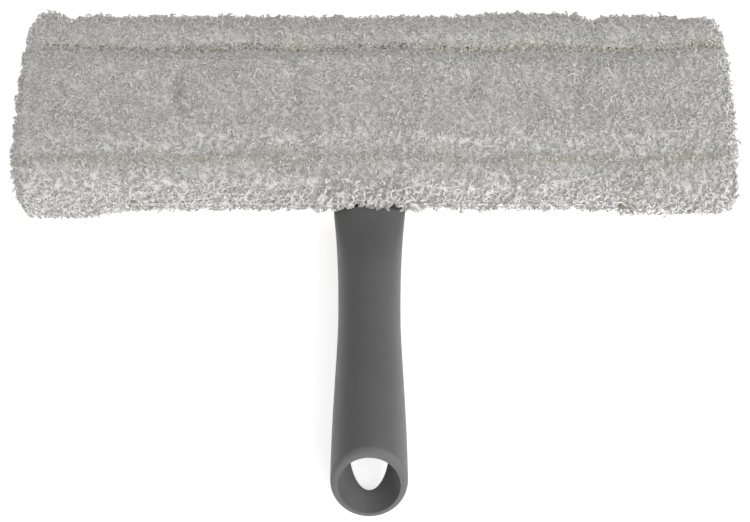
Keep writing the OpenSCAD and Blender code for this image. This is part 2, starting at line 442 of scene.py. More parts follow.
@dataclass(frozen=True)
class YarnFinish:
    """Curly spun fibre of the pile: pale, matt, with soft patches of tint, painted light at the roots,
    painted shade in the creases and a faint painted glow.
    """

    name: str = "plush_yarn"
    # The root colour is lighter than the tip's: painted light that lifts the shade falling between the
    # strands.
    tip: tuple = (0.72, 0.70, 0.67, 1.0)
    root: tuple = (0.82, 0.80, 0.77, 1.0)
    warm: tuple = (0.72, 0.67, 0.60, 1.0)
    cool: tuple = (0.65, 0.67, 0.635, 1.0)
    cream: tuple = (0.80, 0.74, 0.60, 1.0)
    radius: tuple = (1.0, 0.95, 0.88)
    tones: tuple = (0.66, 1.03)
    softness: float = 0.6
    # Strength of a faint painted glow in the yarn's own colour, which lifts the shade between the strands.
    painted_glow: float = 0.19

    def build(self) -> bpy.types.Material:
        """Makes the material.

        Returns:
            A material that reads strand_height, strand_tone, groove and cloth_normal.
        """
        p = Painter(self.name)
        p.set(Sheen_Weight=0.2, Sheen_Roughness=0.5, Specular_IOR_Level=0.15)
        p.set(Subsurface_Weight=0.7, Subsurface_Scale=0.0025, Subsurface_Radius=self.radius)
        patches = p.group(
            tone_group(), Colour=self.tip, Warm=self.warm, Cool=self.cool, Amount=0.55, Scale=26.0
        )
        creamy = p.mix(p.mark("groove"), patches["Colour"], self.cream)
        # From tip to root the yarn turns lighter, which is painted light against the shade between strands;
        # tips near the seams take the cream tint.
        lit = p.mix(p.spread(p.mark("strand_height"), (0.0, 0.85)), self.root, creamy)
        value = p.node("ShaderNodeHueSaturation")
        # The strand tone darkens strands at random, and it darkens those in the creases as painted shade.
        p.link(p.spread(p.mark("strand_tone"), (0.0, 1.0), self.tones), value.inputs["Value"])
        p.link(lit, value.inputs["Color"])
        colour = value.outputs["Color"]
        # The yarn also glows faintly in its own colour: a painted glow that lifts the shade between the
        # strands.
        p.set(Base_Color=colour, Emission_Color=colour, Emission_Strength=self.painted_glow)
        fibre = p.noise(p.place(), 1500.0, 2.0)
        p.set(Roughness=p.spread(fibre, (0.3, 0.7), (0.8, 0.98)))
        p.link(self.soft_normal(p), p.bump(fibre, 0.0003, 0.5).inputs["Normal"])
        return p.material

    def soft_normal(self, p: Painter) -> bpy.types.NodeSocket:
        """A strand's normal turned towards the cloth's own, as light passed between fibres does.

        Args:
            p: the material it is made in.

        Returns:
            The turned normal.
        """
        turned = p.node(
            "ShaderNodeVectorTransform", vector_type="NORMAL", convert_from="OBJECT", convert_to="WORLD"
        )
        p.link(p.mark("cloth_normal", "Vector"), turned.inputs[0])
        own = p.node("ShaderNodeNewGeometry").outputs["Normal"]
        blended = p.node("ShaderNodeMix", data_type="VECTOR")
        for index, value in zip((0, 4, 5), (self.softness, own, turned.outputs[0])):
            p.feed(blended.inputs[index], value)
        even = p.node("ShaderNodeVectorMath", operation="NORMALIZE")
        p.link(blended.outputs[1], even.inputs[0])
        return even.outputs[0]


@dataclass(frozen=True)
class ClothFinish:
    """Woven cloth: the backing that holds the pile, and the tapes that bind the edges."""

    name: str
    colour: tuple
    shade: tuple
    threads: float = 1100.0
    depth: float = 0.0003

    def build(self) -> bpy.types.Material:
        """Makes the material.

        Returns:
            A woven material.
        """
        p = Painter(self.name)
        p.set(Sheen_Weight=0.15, Specular_IOR_Level=0.2)
        weave = p.group(weave_group(), Threads=self.threads)
        patches = p.group(
            tone_group(), Colour=self.colour, Warm=self.shade, Cool=self.shade, Amount=0.5, Scale=60.0
        )
        gap = p.spread(weave["Gap"], (0.1, 0.7), (0.75, 0.0))
        p.set(Base_Color=p.mix(gap, patches["Colour"], self.shade))
        p.set(Roughness=p.spread(weave["Gap"], (0.0, 1.0), (0.98, 0.82)))
        p.bump(weave["Height"], self.depth, 0.8)
        return p.material


@dataclass(frozen=True)
class PlasticFinish:
    """Injection-moulded plastic with a fine matt grain and rubbed patches."""

    name: str
    colour: tuple
    rubbed: tuple
    roughness: tuple = (0.42, 0.56)
    depth: float = 0.00006
    flow: float = 0.3

    def build(self) -> bpy.types.Material:
        """Makes the material.

        Returns:
            A moulded material.
        """
        p = Painter(self.name)
        p.set(Specular_IOR_Level=0.45, Coat_Weight=0.0)
        grain = p.group(grain_group(), Flow=self.flow)
        patches = p.group(
            tone_group(), Colour=self.colour, Warm=self.rubbed, Cool=self.colour, Amount=0.5, Scale=30.0
        )
        fleck = p.spread(grain["Fleck"], (0.45, 0.85), (0.0, 0.35))
        p.set(Base_Color=p.mix(fleck, patches["Colour"], self.rubbed))
        p.set(Roughness=p.spread(grain["Fleck"], (0.4, 0.9), self.roughness))
        p.bump(grain["Height"], self.depth, 0.6)
        return p.material


@dataclass(frozen=True)
class SteelFinish:
    """Zinc-plated steel with fine turning marks and duller patches."""

    name: str = "plated_steel"
    colour: tuple = (0.52, 0.52, 0.5, 1.0)
    dull: tuple = (0.33, 0.33, 0.31, 1.0)

    def build(self) -> bpy.types.Material:
        """Makes the material.

        Returns:
            A metal material.
        """
        p = Painter(self.name)
        p.set(Metallic=1.0)
        grain = p.group(grain_group(), Fine=4000.0, Coarse=900.0, Flow=0.2)
        p.set(Base_Color=p.mix(p.spread(grain["Fleck"], (0.4, 0.8)), self.colour, self.dull))
        p.set(Roughness=p.spread(grain["Fleck"], (0.4, 0.8), (0.28, 0.5)))
        p.bump(grain["Height"], 0.00003, 0.5)
        return p.material


# ---------------------------------------------------------------- meshes and objects


def placed(name: str, mesh: bpy.types.Mesh) -> bpy.types.Object:
    """A mesh's object, at the origin and in the scene.

    Args:
        name: the object's name.
        mesh: its mesh.

    Returns:
        The new object.
    """
    made = bpy.data.objects.new(name, mesh)
    bpy.context.scene.collection.objects.link(made)
    return made


def mesh_from(bm: bmesh.types.BMesh, name: str) -> bpy.types.Mesh:
    """A mesh from a bmesh, which is freed.

    Args:
        bm: the bmesh.
        name: the mesh's name.

    Returns:
        The new mesh.
    """
    mesh = bpy.data.meshes.new(name)
    bm.to_mesh(mesh)
    bm.free()
    return mesh


@dataclass
class MeshStore:
    """Corners and faces of a mesh under construction, in millimetres."""

    points: list[np.ndarray] = field(default_factory=list)
    loops: list[np.ndarray] = field(default_factory=list)
    sizes: list[np.ndarray] = field(default_factory=list)
    slots: list[np.ndarray] = field(default_factory=list)
    marks: dict[str, list[np.ndarray]] = field(default_factory=dict)
    count: int = 0

    def add(
        self,
        points: np.ndarray,
        loops: np.ndarray,
        sizes: np.ndarray,
        slot: int | np.ndarray,
        **marks: np.ndarray,
    ) -> None:
        """Adds a batch of corners and faces.

        Args:
            points: the corners.
            loops: the faces' corner numbers in a row, counted from this batch's first.
            sizes: how many corners each face has.
            slot: the faces' material number, one for all or one for each.
            marks: each mesh attribute's name and its value at every corner.
        """
        self.points.append(points)
        self.loops.append(loops + self.count)
        self.sizes.append(sizes)
        self.slots.append(np.broadcast_to(slot, len(sizes)))
        for name, values in marks.items():
            self.marks.setdefault(name, []).append(values)
        self.count += len(points)

    def make(self, name: str, materials: list[bpy.types.Material]) -> bpy.types.Object:
        """Makes the object, at the origin, with its place in its mesh.

        Args:
            name: the piece's name.
            materials: one for each slot number that was used.

        Returns:
            The new object, linked to the scene.
        """
        points = to_row(np.concatenate(self.points))
        loops = np.concatenate(self.loops).astype(np.int32)
        sizes = np.concatenate(self.sizes).astype(np.int32)
        mesh = bpy.data.meshes.new(name)
        mesh.vertices.add(len(points))
        mesh.vertices.foreach_set("co", points.astype(np.float32).ravel())
        mesh.loops.add(len(loops))
        mesh.loops.foreach_set("vertex_index", loops)
        mesh.polygons.add(len(sizes))
        mesh.polygons.foreach_set("loop_start", np.concatenate(([0], np.cumsum(sizes)[:-1])).astype(np.int32))
        mesh.polygons.foreach_set("material_index", np.concatenate(self.slots).astype(np.int32))
        mesh.update(calc_edges=True)
        mesh.polygons.foreach_set("use_smooth", np.ones(len(sizes), bool))
        for mark, values in self.marks.items():
            joined = np.concatenate(values).astype(np.float32)
            kind, key = ("FLOAT_VECTOR", "vector") if joined.ndim > 1 else ("FLOAT", "value")
            layer = mesh.attributes.new(mark, kind, "POINT")
            layer.data.foreach_set(key, joined.ravel())
        for material in materials:
            mesh.materials.append(material)
        return placed(name, mesh)


def store_from(bm: bmesh.types.BMesh) -> tuple[np.ndarray, np.ndarray, np.ndarray]:
    """Reads a bmesh into arrays.

    Args:
        bm: the bmesh.

    Returns:
        Its corners, its faces' corner numbers in a row, and each face's size.
    """
    bm.verts.index_update()
    points = np.array([v.co for v in bm.verts], float)
    loops = np.array([v.index for f in bm.faces for v in f.verts])
    sizes = np.array([len(f.verts) for f in bm.faces])
    return points, loops, sizes


def object_from(bm: bmesh.types.BMesh, name: str, material: bpy.types.Material) -> bpy.types.Object:
    """A smooth piece in the row frame, from a bmesh in millimetres that is freed.

    Args:
        bm: the bmesh.
        name: the piece's name.
        material: its material.

    Returns:
        The new piece.
    """
    for v in bm.verts:
        v.co = (v.co + Vector((0.0, BAR_Y, BAR_Z))) * MM
    mesh = mesh_from(bm, name)
    mesh.polygons.foreach_set("use_smooth", [True] * len(mesh.polygons))
    mesh.materials.append(material)
    return placed(name, mesh)


def swept(outline: np.ndarray, stations: np.ndarray) -> bmesh.types.BMesh:
    """A closed bar of one section along X, with a ring of corners at each station.

    Args:
        outline: the section's (y, z) corners in order.
        stations: the rings' places along X, rising.

    Returns:
        A bmesh whose corners are in order, ring after ring.
    """
    bm = bmesh.new()
    first = bmesh.ops.create_circle(bm, cap_ends=True, segments=len(outline), radius=1.0)["verts"]
    for v, (y, z) in zip(first, outline):
        v.co = (stations[0], y, z)
    edges = list(bm.faces[:][0].edges)
    for low, high in zip(stations[:-1], stations[1:]):
        grown = bmesh.ops.extrude_edge_only(bm, edges=edges)["geom"]
        verts = [e for e in grown if isinstance(e, bmesh.types.BMVert)]
        edges = [e for e in grown if isinstance(e, bmesh.types.BMEdge) and all(v in verts for v in e.verts)]
        bmesh.ops.translate(bm, verts=verts, vec=(high - low, 0.0, 0.0))
    bmesh.ops.holes_fill(bm, edges=edges, sides=0)
    return bm


# ---------------------------------------------------------------- pile


@dataclass(frozen=True)
class Curl:
    """One curly strand of spun fibre, thin at its root and its tip."""

    length: float
    radius: float
    sweep: float
    turns: float
    droop: float
    start: float
    widths: tuple = (0.8, 1.15, 1.05, 0.62)

    def centre(self, t: float) -> Vector:
        """The strand's centre line.

        Args:
            t: how far along it, from 0 at the root to 1 at the tip.

        Returns:
            The place there.
        """
        angle = self.start + math.tau * self.turns * t
        side = self.sweep * (0.35 + 0.65 * t)
        x = side * math.cos(angle) - 0.35 * self.sweep * math.cos(self.start)
        y = side * math.sin(angle) - 0.35 * self.sweep * math.sin(self.start)
        return Vector((x, y, self.length * (t - self.droop * t * t)))

    def build(self) -> bmesh.types.BMesh:
        """Grows the strand from a small triangle by extruding it along the centre line.

        Returns:
            The strand, closed.
        """
        bm = bmesh.new()
        bmesh.ops.create_circle(bm, cap_ends=True, segments=3, radius=self.radius * self.widths[0])
        top = bm.faces[:][0]
        steps = len(self.widths) - 1
        here, heading = self.centre(0.0), Vector((0.0, 0.0, 1.0))
        for step in range(1, steps + 1):
            there = self.centre(step / steps)
            ahead = (self.centre(min(1.0, (step + 0.5) / steps)) - here).normalized()
            grown = bmesh.ops.extrude_face_region(bm, geom=[top])["geom"]
            verts = [e for e in grown if isinstance(e, bmesh.types.BMVert)]
            top = next(e for e in grown if isinstance(e, bmesh.types.BMFace))
            bmesh.ops.translate(bm, verts=verts, vec=there - here)
            about = Matrix.Translation(-there)
            wide = self.widths[step] / self.widths[step - 1]
            bmesh.ops.scale(bm, verts=verts, vec=(wide, wide, wide), space=about)
            turn = heading.rotation_difference(ahead).to_matrix()
            bmesh.ops.rotate(bm, verts=verts, cent=there, matrix=turn)
            here, heading = there, ahead
        bmesh.ops.recalc_face_normals(bm, faces=bm.faces[:])
        return bm


class Pile:
    """The stock of strands that every plush piece is planted with."""

    sides = 3
    disorder = 0.5

    def __init__(self, seed: int = 11, kinds: int = 14) -> None:
        """Makes the strands.

        Args:
            seed: chooses their shapes.
            kinds: how many different ones.
        """
        rng = np.random.default_rng(seed)
        self.strands = []
        for kind in range(kinds):
            curl = Curl(
                length=rng.uniform(4.4, 6.6),
                radius=rng.uniform(0.46, 0.6),
                sweep=rng.uniform(1.0, 1.9),
                turns=rng.uniform(0.45, 1.15) * (1 if kind % 2 else -1),
                droop=rng.uniform(0.5, 0.8),
                start=rng.uniform(0.0, math.tau),
            )
            bm = curl.build()
            self.strands.append(store_from(bm))
            bm.free()

    def plant(
        self,
        store: MeshStore,
        roots: np.ndarray,
        normals: np.ndarray,
        lengths: np.ndarray,
        lean: np.ndarray,
        groove: np.ndarray,
        crease_shade: np.ndarray,
        limit: Callable[[np.ndarray], np.ndarray],
        rng: np.random.Generator,
    ) -> None:
        """Plants one strand at each root.

        Args:
            store: takes the strands' corners and faces.
            roots: n places on the cloth.
            normals: the cloth's direction at each.
            lengths: each strand's share of its full length.
            lean: a direction that each strand leans in, its length saying how much.
            groove: each strand's share of the seam's cream tint.
            crease_shade: each strand's share of the painted shade that darkens the creases.
            limit: moves corners out of the space that has to stay clear.
            rng: the random numbers to use.
        """
        count = len(roots)
        up = unit(normals + lean + rng.normal(0.0, self.disorder, (count, 3)))
        side = unit(np.cross(up, rng.normal(0.0, 1.0, (count, 3))))
        third = np.cross(up, side)
        kinds = rng.integers(0, len(self.strands), count)
        # Each strand's tone varies at random, less a painted shade that darkens the creases.
        tones = 0.85 + 0.15 * rng.normal(0.5, 0.2, count).clip(0.0, 1.0) - 0.8 * crease_shade
        for kind, (points, loops, sizes) in enumerate(self.strands):
            chosen = np.nonzero(kinds == kind)[0]
            if not len(chosen):
                continue
            scale = lengths[chosen][:, None, None]
            place = (
                roots[chosen][:, None]
                + side[chosen][:, None] * points[None, :, :1] * np.sqrt(scale)
                + third[chosen][:, None] * points[None, :, 1:2] * np.sqrt(scale)
                + up[chosen][:, None] * points[None, :, 2:] * scale
            )
            flat = limit(place.reshape(-1, 3))
            offset = np.arange(len(chosen)) * len(points)
            rings = (np.arange(len(points)) // self.sides) / (len(points) / self.sides - 1)
            store.add(
                flat,
                (loops[None] + offset[:, None]).ravel(),
                np.tile(sizes, len(chosen)),
                0,
                strand_height=np.tile(rings, len(chosen)),
                strand_tone=np.repeat(tones[chosen], len(points)),
                groove=np.repeat(groove[chosen], len(points)),
                cloth_normal=np.repeat(normals[chosen], len(points), axis=0),
            )


class Section(Enum):
    """Which way a plush piece's padding is drawn."""

    CROWN = "a flat panel with a crowned face and rounded long sides"
    BOLSTER = "a half-round strip beside a panel"
    LIP = "a quarter-round strip whose flat side closes the slit"
    PLUG = "a plain block whose end carries the pile"


@dataclass
class PlushPiece:
    """One sewn piece of plush: padded cloth backing with curly pile planted on it.

    Sizes are the backing's, which the pile stands 2 to 4 mm proud of. pitch is the distance between
    strands, ends the radius that each end is rounded by, with 0 where it meets a neighbour, skew how much
    narrower the strip is at one end, notches a row of (x, width, depth) bites out of its free edge, and
    swell the most that the simulation may move the cloth.
    """

    name: str
    node: str
    section: Section
    x0: float
    x1: float
    side: int
    base_y: float
    base_z: float
    reach: float
    rise: float
    pitch: float = 1.62
    pile_length: float = 1.0
    fill: float = 0.6
    ends: tuple[float, float] = (5.0, 5.0)
    skew: float = 0.0
    seed: int = 1
    swell: float = 1.6
    outline_points: int = 40
    underpile: float = 0.2
    notches: tuple = ()
    seam_count: float = 2.8
    seam_height: float = 16.0
    shoulder_clear: float = 4.0
    hang_free: float = 16.0
    pressed: float = 0.04
    pressure: float = 4.0
    frames: int = 14

    def outline(self) -> tuple[np.ndarray, np.ndarray]:
        """The backing's section.

        Returns:
            The (y, z) corners in order, and for each whether pile grows from it.
        """
        inner_share = {Section.CROWN: 0.3, Section.BOLSTER: 0.3, Section.LIP: 0.42, Section.PLUG: 0.0}
        inner = int(self.outline_points * inner_share[self.section])
        outer = self.outline_points - inner
        if self.section is Section.CROWN:
            t = np.linspace(0.0, math.pi, outer)
            y = self.reach * bent(np.cos(t), 0.36)
            z = self.base_z + self.side * self.rise * bent(np.sin(t), 0.5)
            back_y = np.linspace(y[-1], y[0], inner + 2)[1:-1]
            back_z = np.full(inner, self.base_z)
        elif self.section is Section.BOLSTER:
            t = np.linspace(0.0, math.pi, outer)
            y = self.base_y + self.side * self.reach * bent(np.sin(t), 0.75)
            z = self.rise * bent(np.cos(t), 0.75)
            back_y = np.full(inner, self.base_y)
            back_z = np.linspace(z[-1], z[0], inner + 2)[1:-1]
        elif self.section is Section.LIP:
            t = np.linspace(0.0, math.pi / 2, outer)
            y = self.base_y - self.reach * bent(np.sin(t), 0.75)
            z = self.base_z + self.side * self.rise * bent(np.cos(t), 0.75)
            half = inner // 2
            back_y = np.concatenate(
                (np.linspace(y[-1], self.base_y, half + 1)[1:], np.full(inner - half, self.base_y))
            )
            back_z = np.concatenate(
                (np.full(half, self.base_z), np.linspace(self.base_z, z[0], inner - half + 1)[:-1])
            )
        else:
            t = np.linspace(0.0, math.tau, outer, endpoint=False)
            y = self.reach * bent(np.cos(t), 0.4)
            z = self.rise * bent(np.sin(t), 0.4)
            back_y, back_z = np.zeros(0), np.zeros(0)
        corners = np.column_stack((np.concatenate((y, back_y)), np.concatenate((z, back_z))))
        pile = np.concatenate((np.ones(len(y), bool), np.zeros(len(back_y), bool)))
        return corners, pile

    def pull_in(self, points: np.ndarray, share: np.ndarray) -> np.ndarray:
        """Flattens the padding towards its sewn side.

        Args:
            points: the backing's corners.
            share: how much of its thickness stays at each.

        Returns:
            The moved corners.
        """
        moved = points.copy()
        if self.section is Section.CROWN:
            moved[:, 2] = self.base_z + (points[:, 2] - self.base_z) * share
            moved[:, 1] = points[:, 1] * (1.0 - 0.02 * (1.0 - share))
        elif self.section is Section.BOLSTER:
            moved[:, 1] = self.base_y + (points[:, 1] - self.base_y) * share
            moved[:, 2] = points[:, 2] * (0.7 + 0.3 * share)
        elif self.section is Section.LIP:
            moved[:, 1] = self.base_y + (points[:, 1] - self.base_y) * (0.25 + 0.75 * share)
            moved[:, 2] = self.base_z + (points[:, 2] - self.base_z) * (0.35 + 0.65 * share)
        return moved

    def backing(self) -> tuple[bmesh.types.BMesh, np.ndarray, np.ndarray]:
        """The padded cloth, shaped but not yet swollen.

        Returns:
            The bmesh, its corners as rings by outline, and the outline's pile marks.
        """
        corners, pile = self.outline()
        inner = np.linspace(self.x0 + 6.0, self.x1 - 6.0, max(3, int((self.x1 - self.x0 - 12.0) / 3.0)))
        edge = np.array([0.0, 0.25, 0.7, 1.4, 2.4, 3.6, 4.8])
        if self.x1 - self.x0 < 16.0:
            stations = np.linspace(self.x0, self.x1, 8)
        else:
            stations = np.concatenate((self.x0 + edge, inner, self.x1 - edge[::-1]))
        bm = swept(corners, stations)
        bm.verts.ensure_lookup_table()
        points = np.array([v.co for v in bm.verts], float)
        from_low = points[:, 0] - self.x0
        from_high = self.x1 - points[:, 0]
        share = np.ones(len(points))
        for gap, radius in zip((from_low, from_high), self.ends):
            if radius > 0.0:
                t = np.clip(gap / radius, 0.0, 1.0)
                share = np.minimum(share, 0.42 + 0.58 * np.sqrt(1.0 - (1.0 - t) ** 2))
        points = self.pull_in(points, share)
        points = self.relief(points, np.tile(pile, len(stations)))
        for v, place in zip(bm.verts, points):
            v.co = place
        bmesh.ops.recalc_face_normals(bm, faces=bm.faces[:])
        return bm, points.reshape(len(stations), len(corners), 3), pile

    def relief(self, points: np.ndarray, pile: np.ndarray) -> np.ndarray:
        """Gives the padding its hollows, swells, notches and lengthwise skew.

        Args:
            points: the backing's corners.
            pile: whether pile grows from each.

        Returns:
            The moved corners.
        """
        swell = 0.75 * lattice_noise(points, 27.0, 5) + 0.4 * lattice_noise(points, 12.0, 6)
        moved = points.copy()
        weight = pile.astype(float)
        beside = np.exp(-(((np.abs(points[:, 1]) - SEAM_Y) / 6.0) ** 2))
        beside *= smooth_step(np.abs(points[:, 2]), 9.5, 13.0)
        moved[:, 1] += weight * beside * seam_wander(points[:, 0])
        if self.section is Section.CROWN:
            depth = np.clip(np.abs(points[:, 2] - self.base_z) / max(self.rise, 1e-6), 0.0, 1.0)
            hollow = np.zeros(len(points))
            for x, y, width, dip in (*CREASES, *HOLLOWS):
                far = ((points[:, 0] - x) / width) ** 2 + ((points[:, 1] - y) / (width * 2.6)) ** 2
                hollow += dip * np.exp(-far)
            moved[:, 2] += self.side * weight * depth * (swell - hollow)
        elif self.section is Section.BOLSTER or self.section is Section.LIP:
            out = np.abs(points[:, 1] - self.base_y) / max(self.reach, 1e-6)
            lie = -self.skew * points[:, 0] / 173.0
            moved[:, 1] += weight * out * (math.copysign(1.0, self.base_y) * swell + lie)
            for x, width, dip in self.notches:
                bite = dip * np.exp(-(((points[:, 0] - x) / width) ** 2))
                moved[:, 1] -= math.copysign(1.0, self.base_y) * weight * out * bite
        return moved

    def swell_up(self, bm: bmesh.types.BMesh, grid: np.ndarray, pile: np.ndarray) -> np.ndarray:
        """Puffs the padding up between its seams by a short cloth simulation.

        Args:
            bm: the shaped backing.
            grid: its corners as rings by outline.
            pile: the outline's pile marks.

        Returns:
            The swollen corners, in the grid's order.
        """
        mesh = bpy.data.meshes.new(self.name + "_padding")
        bm.to_mesh(mesh)
        trial = placed(self.name + "_padding", mesh)
        rings, around = grid.shape[:2]
        mesh.transform(Matrix.Scale(MM, 4))
        held = ~pile
        edges = held | np.roll(held, 1) | np.roll(held, -1)
        pinned = np.tile(edges, rings).reshape(rings, around)
        pinned[:1] = True
        pinned[-1:] = True
        group = trial.vertex_groups.new(name="sewn")
        group.add([int(i) for i in np.nonzero(pinned.ravel())[0]], 1.0, "REPLACE")
        cloth = trial.modifiers.new("padding", "CLOTH")
        settings = cloth.settings
        settings.quality = 5
        settings.mass = 0.2
        settings.use_pressure = True
        settings.uniform_pressure_force = self.pressure
        settings.vertex_group_mass = "sewn"
        settings.tension_stiffness = 12.0
        settings.compression_stiffness = 12.0
        settings.bending_stiffness = 0.6
        settings.effector_weights.gravity = 0.0
        cloth.collision_settings.use_collision = False
        scene = bpy.context.scene
        for step in range(1, self.frames + 1):
            scene.frame_set(step)
        shaped = trial.evaluated_get(bpy.context.evaluated_depsgraph_get())
        result = np.zeros(rings * around * 3)
        shaped.data.vertices.foreach_get("co", result)
        scene.frame_set(1)
        bpy.data.objects.remove(trial)
        bpy.data.meshes.remove(mesh)
        moved = result.reshape(-1, 3) / MM - grid.reshape(-1, 3)
        far = np.linalg.norm(moved, axis=1, keepdims=True)
        moved *= np.minimum(1.0, self.swell / np.maximum(far, 1e-6))
        log.info("%s swells by up to %.1f mm", self.name, float(far.max()))
        return grid.reshape(-1, 3) + moved

    def limit(self, points: np.ndarray) -> np.ndarray:
        """Keeps corners off the floor, out of the slit and off the handle's shoulder.

        Args:
            points: the strands' corners.

        Returns:
            The corners, with those that were out of bounds pressed flat at the bound.
        """
        moved = points.copy()
        floor = FLOOR_CLEAR - BAR_Z
        low = moved[:, 2] < floor
        moved[low, 2] = floor + 0.02 * (moved[low, 2] - floor)
        if self.section is Section.LIP:
            ahead = -moved[:, 1]
            raised = self.shoulder_clear * smooth_step(ahead, 47.5, 50.5)
            if self.side > 0:
                left_of_grip = smooth_step(-moved[:, 0], 21.0, 26.0) * smooth_step(ahead, 42.0, 45.0)
                bound = SLIT_TOP + 1.0 + raised - self.hang_free * left_of_grip
                under = moved[:, 2] < bound
                moved[under, 2] = bound[under] + self.pressed * (bound[under] - moved[under, 2])
            else:
                bound = SLIT_LOW - 1.0 - raised
                over = moved[:, 2] > bound
                moved[over, 2] = bound[over] - self.pressed * (moved[over, 2] - bound[over])
        return moved

    def sown(
        self, grid: np.ndarray, pile: np.ndarray, rng: np.random.Generator
    ) -> tuple[np.ndarray, np.ndarray]:
        """Even but jittered places over the pile side.

        Args:
            grid: the backing's corners as rings by outline.
            pile: the outline's pile marks.
            rng: the random numbers to use.

        Returns:
            The places and the cloth's direction at each.
        """
        face = grid[:, pile]
        if self.section is Section.PLUG or face.shape[1] < 3:
            return np.zeros((0, 3)), np.zeros((0, 3))
        along = np.linalg.norm(np.diff(face, axis=0), axis=2).mean(1)
        around = np.linalg.norm(np.diff(face, axis=1), axis=2).mean(0)
        run_u = np.concatenate(([0.0], np.cumsum(along)))
        run_v = np.concatenate(([0.0], np.cumsum(around)))
        n_u = max(2, int(run_u[-1] / self.pitch))
        n_v = max(2, int(run_v[-1] / self.pitch))
        u, v = np.meshgrid(np.arange(n_u), np.arange(n_v), indexing="ij")
        shift = 0.5 * (u % 2)
        u = (u + rng.uniform(0.05, 0.95, u.shape)) / n_u * run_u[-1]
        v = ((v + shift * 0.5 + rng.uniform(0.0, 0.9, v.shape)) / n_v).clip(0.0, 1.0) * run_v[-1]
        u, v = u.ravel(), v.ravel()
        at_u = np.interp(u, run_u, np.arange(len(run_u)))
        at_v = np.interp(v, run_v, np.arange(len(run_v)))
        i = np.minimum(at_u.astype(int), face.shape[0] - 2)
        j = np.minimum(at_v.astype(int), face.shape[1] - 2)
        fu, fv = (at_u - i)[:, None], (at_v - j)[:, None]
        a, b, c, d = face[i, j], face[i + 1, j], face[i, j + 1], face[i + 1, j + 1]
        places = (a * (1 - fu) + b * fu) * (1 - fv) + (c * (1 - fu) + d * fu) * fv
        normals = unit(np.cross(b - a + d - c, c - a + d - b))
        middle = face.mean(axis=1).mean(axis=0)
        outward = np.einsum("ij,ij->i", normals, (places - middle) * (0.0, 1.0, 1.0))
        normals *= np.sign(np.median(np.sign(outward)))
        return places, normals

    def end_sown(
        self, ring: np.ndarray, sign: int, rng: np.random.Generator
    ) -> tuple[np.ndarray, np.ndarray]:
        """Places over one end of the padding.

        Args:
            ring: the end's corners in order.
            sign: which way along X the end faces.
            rng: the random numbers to use.

        Returns:
            The places and the cloth's direction at each.
        """
        y, z = ring[:, 1], ring[:, 2]
        pitch = self.pitch
        ys, zs = np.meshgrid(np.arange(y.min(), y.max(), pitch), np.arange(z.min(), z.max(), pitch))
        ys = (ys + rng.uniform(0.0, pitch, ys.shape)).ravel()
        zs = (zs + rng.uniform(0.0, pitch, zs.shape)).ravel()
        inside = np.zeros(len(ys), bool)
        for (y0, z0), (y1, z1) in zip(zip(y, z), zip(np.roll(y, -1), np.roll(z, -1))):
            crosses = (z0 > zs) != (z1 > zs)
            level = np.where(abs(z1 - z0) < 1e-9, 1e-9, z1 - z0)
            inside ^= crosses & (ys < (y1 - y0) * (zs - z0) / level + y0)
        places = np.column_stack((np.full(inside.sum(), ring[:, 0].mean()), ys[inside], zs[inside]))
        normals = np.tile((float(sign), 0.0, 0.0), (len(places), 1))
        return places, normals

    def seam_sown(self, rng: np.random.Generator) -> tuple[np.ndarray, np.ndarray]:
        """Places along the long seams that the piece closes, over their piping.

        Args:
            rng: the random numbers to use.

        Returns:
            The places and the cloth's direction at each.
        """
        if self.section not in (Section.BOLSTER, Section.LIP):
            return np.zeros((0, 3)), np.zeros((0, 3))
        places = []
        for face in (1, -1) if self.section is Section.BOLSTER else (self.side,):
            x = rng.uniform(self.x0 + 1.0, self.x1 - 1.0, int((self.x1 - self.x0) * self.seam_count))
            y = math.copysign(SEAM_Y, self.base_y) + seam_wander(x) + rng.normal(0.0, 1.0, len(x))
            places.append(np.column_stack((x, y, np.full(len(x), face * self.seam_height))))
        joined = np.concatenate(places)
        return joined, np.column_stack((0 * joined[:, 0], 0 * joined[:, 0], np.sign(joined[:, 2])))

    def crease_shade_share(self, places: np.ndarray) -> np.ndarray:
        """How much painted shade each place gets from the creases of a wide face.

        Args:
            places: the strands' roots.

        Returns:
            A share from 0 to 1 for each.
        """
        share = np.zeros(len(places))
        if self.section is Section.CROWN:
            ragged = 2.2 * lattice_noise(places, 6.0, 51)
            broken = np.clip(0.55 + 0.9 * lattice_noise(places, 5.0, 52), 0.0, 1.0)
            for x, y, width, dip in CREASES:
                far = ((places[:, 0] + ragged - x) / (width * 0.5)) ** 2 + ((places[:, 1] - y) / 13.0) ** 2
                share += broken * np.exp(-far) * dip / CREASES[0][3]
        return share.clip(0.0, 1.0)

    def groove_share(self, places: np.ndarray) -> np.ndarray:
        """How near each place is to the seams that the piece is sewn along.

        Args:
            places: the strands' roots, or corners of the backing.

        Returns:
            A share from 0 to 1 for each.
        """
        if self.section is Section.PLUG:
            return np.zeros(len(places))
        return 1.0 - smooth_step(np.abs(np.abs(places[:, 1]) - SEAM_Y), 0.6, 4.2)

